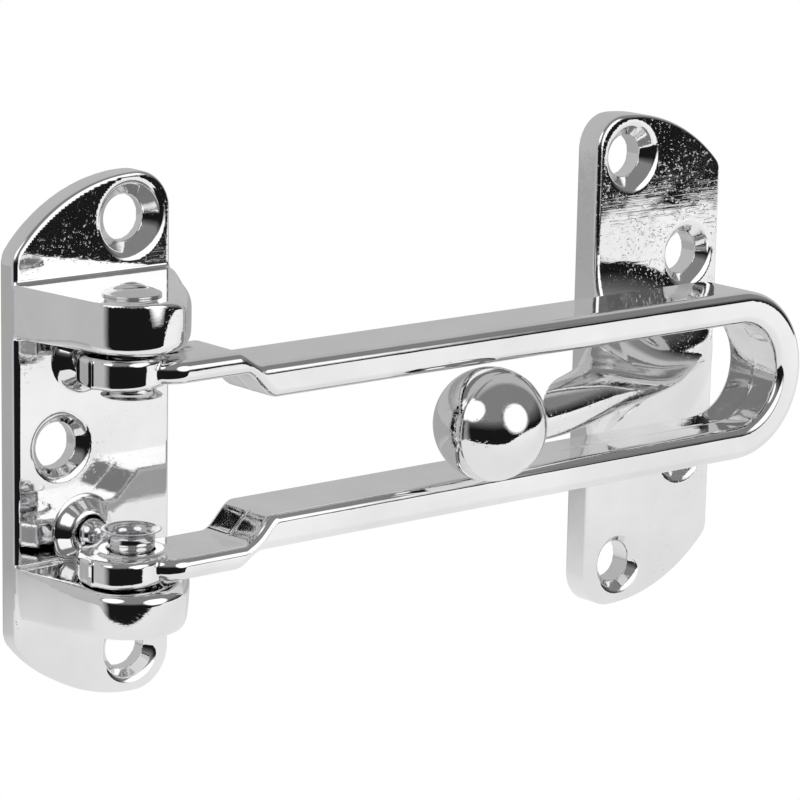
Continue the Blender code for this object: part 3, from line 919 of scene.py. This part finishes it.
def ramp(nodes, source, span, stops):
    """Grey ramp over a span of the source value."""
    colors = nodes.add("ShaderNodeValToRGB")
    while len(colors.color_ramp.elements) < len(stops):
        colors.color_ramp.elements.new(0.5)
    for element, (at, grey) in zip(colors.color_ramp.elements, stops):
        element.position = at
        element.color = (grey, grey, grey, 1.0)
    nodes.link(between(nodes, source, span, (0.0, 1.0)), colors.inputs["Fac"])
    return colors.outputs["Color"]


def glow(name, strength):
    material, nodes = new_material(name)
    emission = nodes.add("ShaderNodeEmission", Strength=strength)
    output = nodes.add("ShaderNodeOutputMaterial")
    nodes.link(emission.outputs["Emission"], output.inputs["Surface"])
    return material


def sheet_glow(name, span, stops):
    """Glow of the sheet from front to back; weak behind the object, where its own lamps do not reach."""
    material, nodes = new_material(name)
    place = nodes.add("ShaderNodeSeparateXYZ")
    nodes.link(nodes.add("ShaderNodeTexCoord").outputs["Object"], place.inputs["Vector"])
    emission = nodes.add("ShaderNodeEmission", Strength=1.0)
    output = nodes.add("ShaderNodeOutputMaterial")
    nodes.link(ramp(nodes, place.outputs["Y"], span, stops), emission.inputs["Color"])
    nodes.link(emission.outputs["Emission"], output.inputs["Surface"])
    return material


def panel(name, corners, material, seen_by_camera=False, seen_in_gloss=True):
    mesh = bpy.data.meshes.new(name)
    mesh.from_pydata([Vector(corner) for corner in corners], [], [tuple(range(len(corners)))])
    mesh.materials.append(material)
    obj = bpy.data.objects.new(name, mesh)
    bpy.context.scene.collection.objects.link(obj)
    obj.visible_camera = seen_by_camera
    obj.visible_glossy = seen_in_gloss
    obj.visible_shadow = False
    return obj


def towards(azimuth, elevation):
    """Unit vector from the object, azimuth 0 straight ahead of the plates and 90 along +X."""
    turn, rise = math.radians(azimuth), math.radians(elevation)
    return Vector((math.sin(turn) * math.cos(rise), -math.cos(turn) * math.cos(rise), math.sin(rise)))


def soft_glow(name, strength, radius):
    """Glow that fades towards the lamp's rim."""
    material, nodes = new_material(name)
    reach = nodes.add("ShaderNodeVectorMath", operation="LENGTH")
    nodes.link(nodes.add("ShaderNodeTexCoord").outputs["Object"], reach.inputs[0])
    fade = nodes.add("ShaderNodeMapRange", interpolation_type="SMOOTHSTEP")
    fade.inputs["From Min"].default_value = radius * LAMP_CORE
    fade.inputs["From Max"].default_value = radius
    fade.inputs["To Min"].default_value = strength
    fade.inputs["To Max"].default_value = strength * LAMP_RIM
    nodes.link(reach.outputs["Value"], fade.inputs["Value"])
    emission = nodes.add("ShaderNodeEmission")
    output = nodes.add("ShaderNodeOutputMaterial")
    nodes.link(fade.outputs["Result"], emission.inputs["Strength"])
    nodes.link(emission.outputs["Emission"], output.inputs["Surface"])
    return material


def softbox(name, azimuth, elevation, half_w_deg, half_h_deg, strength):
    """Octagonal lamp that faces the ball."""
    heading = towards(azimuth, elevation)
    side = heading.cross(Vector((0, 0, 1))).normalized()
    up = side.cross(heading)
    half_w = LAMP_DISTANCE * math.tan(math.radians(half_w_deg))
    half_h = LAMP_DISTANCE * math.tan(math.radians(half_h_deg))
    corners = []
    for i in range(8):
        angle = math.radians(22.5 + 45 * i)
        reach = 1 / math.cos(math.radians(22.5))
        corners.append(side * half_w * reach * math.cos(angle) + up * half_h * reach * math.sin(angle))
    lamp = panel(name, corners, soft_glow(name, strength, (half_w + half_h) / 2))
    lamp.location = Vector(BALL) * MM + heading * LAMP_DISTANCE


def build_world():
    """White to the camera; in reflections dark low in front, grey above, a white wall behind."""
    world = bpy.data.worlds.new("studio_room")
    bpy.context.scene.world = world
    world.use_nodes = True
    nodes = Nodes(world.node_tree)
    direction = nodes.add("ShaderNodeSeparateXYZ")
    nodes.link(nodes.add("ShaderNodeTexCoord").outputs["Generated"], direction.inputs["Vector"])
    rise = ramp(nodes, direction.outputs["Z"], ROOM_RISE_SPAN, ROOM_RISE_STOPS)
    back = ramp(nodes, direction.outputs["Y"], ROOM_BACK_SPAN, ROOM_BACK_STOPS)
    total = nodes.add("ShaderNodeMath", operation="MAXIMUM")
    nodes.link(rise, total.inputs[0])
    nodes.link(back, total.inputs[1])
    room = nodes.add("ShaderNodeBackground")
    nodes.link(total.outputs["Value"], room.inputs["Color"])
    plain = nodes.add("ShaderNodeBackground", Color=(1.0, 1.0, 1.0, 1.0), Strength=1.0)
    mix = nodes.add("ShaderNodeMixShader")
    output = nodes.add("ShaderNodeOutputWorld")
    nodes.link(nodes.add("ShaderNodeLightPath").outputs["Is Camera Ray"], mix.inputs["Fac"])
    nodes.link(room.outputs["Background"], mix.inputs[1])
    nodes.link(plain.outputs["Background"], mix.inputs[2])
    nodes.link(mix.outputs["Shader"], output.inputs["Surface"])


floor = [(x * FLOOR_HALF, y * FLOOR_HALF, FLOOR_Z) for x, y in ((-1, -1), (1, -1), (1, 1), (-1, 1))]
panel("floor", floor, glow("floor_white", 1.0), seen_by_camera=True, seen_in_gloss=False)
sheet = [(x * MM, y * MM, SHEET_Z * MM) for x, y in SHEET_EDGE]
panel("white_sheet", sheet, sheet_glow("sheet_white", SHEET_SPAN, SHEET_STOPS))
for lamp in LAMPS:
    softbox(*lamp)
build_world()


# Camera

def build_camera():
    """Long lens, from the front left and a little above."""
    data = bpy.data.cameras.new("camera")
    data.lens = CAMERA_LENS
    data.sensor_width = 36.0
    camera = bpy.data.objects.new("camera", data)
    bpy.context.scene.collection.objects.link(camera)
    place = Vector(CAMERA_AT) * MM
    level = (Vector(CAMERA_AIM) * MM - place).to_track_quat("-Z", "Y").to_matrix()
    turn = level @ Matrix.Rotation(math.radians(CAMERA_ROLL_DEG), 3, "Z")
    camera.matrix_world = Matrix.Translation(place) @ turn.to_4x4()
    bpy.context.scene.camera = camera


build_camera()
bpy.context.scene.view_settings.view_transform = "Standard"
